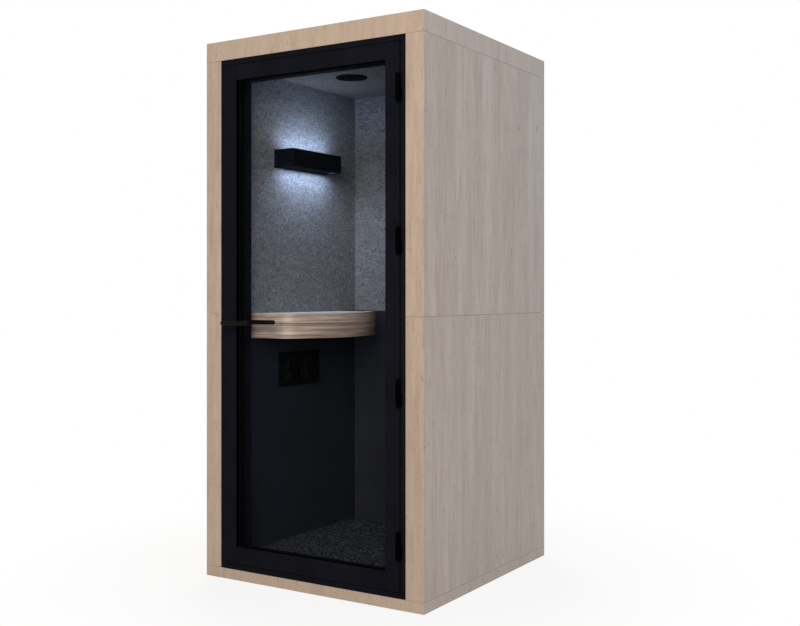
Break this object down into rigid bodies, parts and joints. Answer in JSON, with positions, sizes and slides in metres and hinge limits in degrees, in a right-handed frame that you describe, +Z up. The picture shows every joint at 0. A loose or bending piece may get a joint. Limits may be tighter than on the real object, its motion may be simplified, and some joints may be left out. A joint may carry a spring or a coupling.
{
  "type": "acoustic office pod",
  "caption": "Wood-clad one-person acoustic cabin with a hinged glass door, lever handles, felt lining, a bow-fronted wall desk, a wall lamp, fans and a ceiling air valve.",
  "frame": {"origin": "on the floor, under the middle of the cabin's square base", "axes": "+X to the right seen from the door, +Y from the door to the back wall, +Z up"},
  "size_m": [1, 1.0739, 2.1],
  "materials": {
    "oak_veneer": "satin",
    "plywood": "matte",
    "mineral_wool": "matte",
    "grey_felt": "matte",
    "dark_board": "matte",
    "ceiling_felt": "matte",
    "carpet": "matte",
    "black_lacquer": "satin",
    "black_steel": "satin",
    "black_plastic": "matte",
    "black_rubber": "matte",
    "zinc_plate": "satin",
    "desk_laminate": "satin",
    "desk_veneer": "satin",
    "opal_acrylic": "satin",
    "clear_glass": "gloss"
  },
  "bodies": {
    "cabin": {"base_platform": "oak_veneer", "carpet_tile": "carpet", "left_wall_core": "mineral_wool", "left_wall_lower_casing": "oak_veneer", "left_wall_upper_casing": "oak_veneer", "left_lower_lining": "dark_board", "left_felt_panel": "grey_felt", "right_wall_core": "mineral_wool", "right_wall_lower_casing": "oak_veneer", "right_wall_upper_casing": "oak_veneer", "right_lower_lining": "dark_board", "right_felt_panel": "grey_felt", "back_wall_core": "mineral_wool", "back_wall_lower_casing": "oak_veneer", "back_wall_upper_casing": "oak_veneer", "back_lower_lining": "dark_board", "back_felt_panel": "grey_felt", "cable_gland": "black_rubber", "roof_casing": "oak_veneer", "roof_core": "mineral_wool", "ceiling_panel": "ceiling_felt", "valve_ring": "black_plastic", "jamb_latch_side": "black_lacquer", "jamb_hinge_side": "black_lacquer", "door_head": "black_lacquer", "door_sill": "black_lacquer", "door_seal": "black_rubber", "strike_plate": "zinc_plate", "hinge_1_frame_half": "black_steel", "hinge_2_frame_half": "black_steel", "hinge_3_frame_half": "black_steel", "hinge_4_frame_half": "black_steel", "desk_band": "desk_laminate", "desk_board": "desk_veneer", "desk_cleat": "plywood", "lamp_sleeve": "black_steel", "lamp_light_guide": "opal_acrylic", "fan_panel": "black_plastic"},
    "door": {"stile_latch_side": "black_lacquer", "stile_hinge_side": "black_lacquer", "door_top_rail": "black_lacquer", "door_bottom_rail": "black_lacquer", "door_glass": "clear_glass", "glazing_gasket": "black_rubber", "hinge_1_leaf_half": "black_steel", "hinge_2_leaf_half": "black_steel", "hinge_3_leaf_half": "black_steel", "hinge_4_leaf_half": "black_steel", "rose_outer": "black_steel", "rose_inner": "black_steel"},
    "lever": {"lever_outer": "black_steel", "lever_inner": "black_steel"},
    "latch": {"latch_bolt": "zinc_plate"},
    "fan_1": {"fan_rotor_1": "black_plastic"},
    "fan_2": {"fan_rotor_2": "black_plastic"},
    "air_valve": {"valve_disc": "black_plastic"},
    "foot_1": {"foot_front_left": "zinc_plate"},
    "foot_2": {"foot_front_right": "zinc_plate"},
    "foot_3": {"foot_back_left": "zinc_plate"},
    "foot_4": {"foot_back_right": "zinc_plate"}
  },
  "joints": [
    {"name": "door_swing", "type": "hinge", "parent": "cabin", "child": "door", "pos_m": [0.4025, -0.5143, 1.0325], "axis": [0, 0, 1], "range_deg": [0, 120]},
    {"name": "lever_turn", "type": "hinge", "parent": "door", "child": "lever", "pos_m": [-0.369, -0.485, 1], "axis": [0, 1, 0], "range_deg": [0, 40], "stiffness_Nm_per_rad": 2, "springref_deg": -28.65},
    {"name": "latch_slide", "type": "slide", "parent": "door", "child": "latch", "axis": [1, 0, 0], "range_m": [0, 0.01]},
    {"name": "fan_1_spin", "type": "hinge", "parent": "cabin", "child": "fan_1", "pos_m": [-0.4375, -0.06, 0.792], "axis": [1, 0, 0], "continuous": true},
    {"name": "fan_2_spin", "type": "hinge", "parent": "cabin", "child": "fan_2", "pos_m": [-0.4375, 0.06, 0.792], "axis": [1, 0, 0], "continuous": true},
    {"name": "valve_slide", "type": "slide", "parent": "cabin", "child": "air_valve", "axis": [0, 0, -1], "range_m": [0, 0.015]},
    {"name": "foot_1_slide", "type": "slide", "parent": "cabin", "child": "foot_1", "axis": [0, 0, -1], "range_m": [0, 0.02]},
    {"name": "foot_2_slide", "type": "slide", "parent": "cabin", "child": "foot_2", "axis": [0, 0, -1], "range_m": [0, 0.02]},
    {"name": "foot_3_slide", "type": "slide", "parent": "cabin", "child": "foot_3", "axis": [0, 0, -1], "range_m": [0, 0.02]},
    {"name": "foot_4_slide", "type": "slide", "parent": "cabin", "child": "foot_4", "axis": [0, 0, -1], "range_m": [0, 0.02]}
  ],
  "couplings": [
    {"joint": "latch_slide", "follows": "lever_turn", "m_per_rad": 0.0143}
  ]
}
